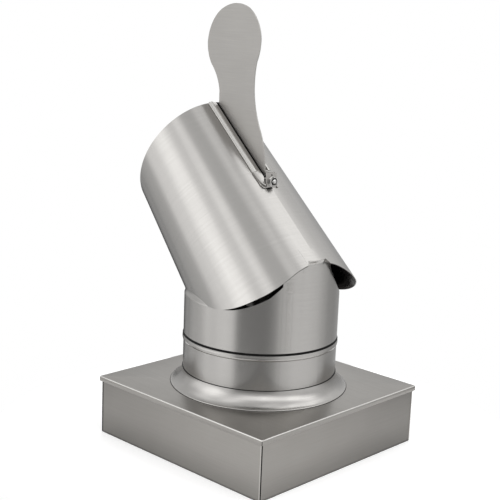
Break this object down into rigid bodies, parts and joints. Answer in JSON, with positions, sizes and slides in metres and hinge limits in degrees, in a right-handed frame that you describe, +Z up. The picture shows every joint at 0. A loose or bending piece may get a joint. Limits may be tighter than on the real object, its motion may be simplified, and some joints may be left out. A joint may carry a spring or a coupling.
{
  "type": "chimney cowl",
  "caption": "Wind-directed chimney cowl: a square box cap carries a short tube on which a slanted hood with a paddle vane turns.",
  "frame": {"origin": "on the upright spindle axis, level with the bottom edge of the box cap", "axes": "+Z up along the spindle; X and Y square to the box cap's sides; the hood leans towards -X, turned 7.5 degrees"},
  "size_m": [0.3475, 0.3, 0.5717],
  "materials": {
    "box_sheet": "brushed stainless sheet, warm grey",
    "tube_sheet": "brushed stainless sheet with long soft streaks",
    "vane_sheet": "satin stainless sheet",
    "bar_steel": "mill finish stainless flat bar",
    "fastener": "machined stainless",
    "bearing_bronze": "sintered bronze"
  },
  "bodies": {
    "base": {"base_skirt": "box_sheet", "lid_plate": "box_sheet", "stub_tube": "tube_sheet", "storm_collar": "tube_sheet", "spindle_bridge": "bar_steel", "spindle": "fastener", "spindle_lower_nut": "fastener", "spindle_upper_nut": "fastener", "thrust_ring": "bearing_bronze", "top_lock_nut": "fastener"},
    "head": {"hub_tube": "bar_steel", "lower_bush": "bearing_bronze", "upper_bush": "bearing_bronze", "lower_hub_bar": "bar_steel", "upper_hub_bar": "bar_steel", "sleeve": "tube_sheet", "hood": "tube_sheet", "vane": "vane_sheet", "vane_inner_angle": "bar_steel", "near_rail": "vane_sheet", "far_rail": "vane_sheet", "vane_lug": "vane_sheet", "vane_bolt": "fastener", "vane_bolt_nut": "fastener", "vane_bolt_washer": "fastener"}
  },
  "joints": [
    {"name": "head_spin", "type": "hinge", "parent": "base", "child": "head", "pos_m": [0, 0, 0.1207], "axis": [0, 0, 1], "continuous": true}
  ]
}
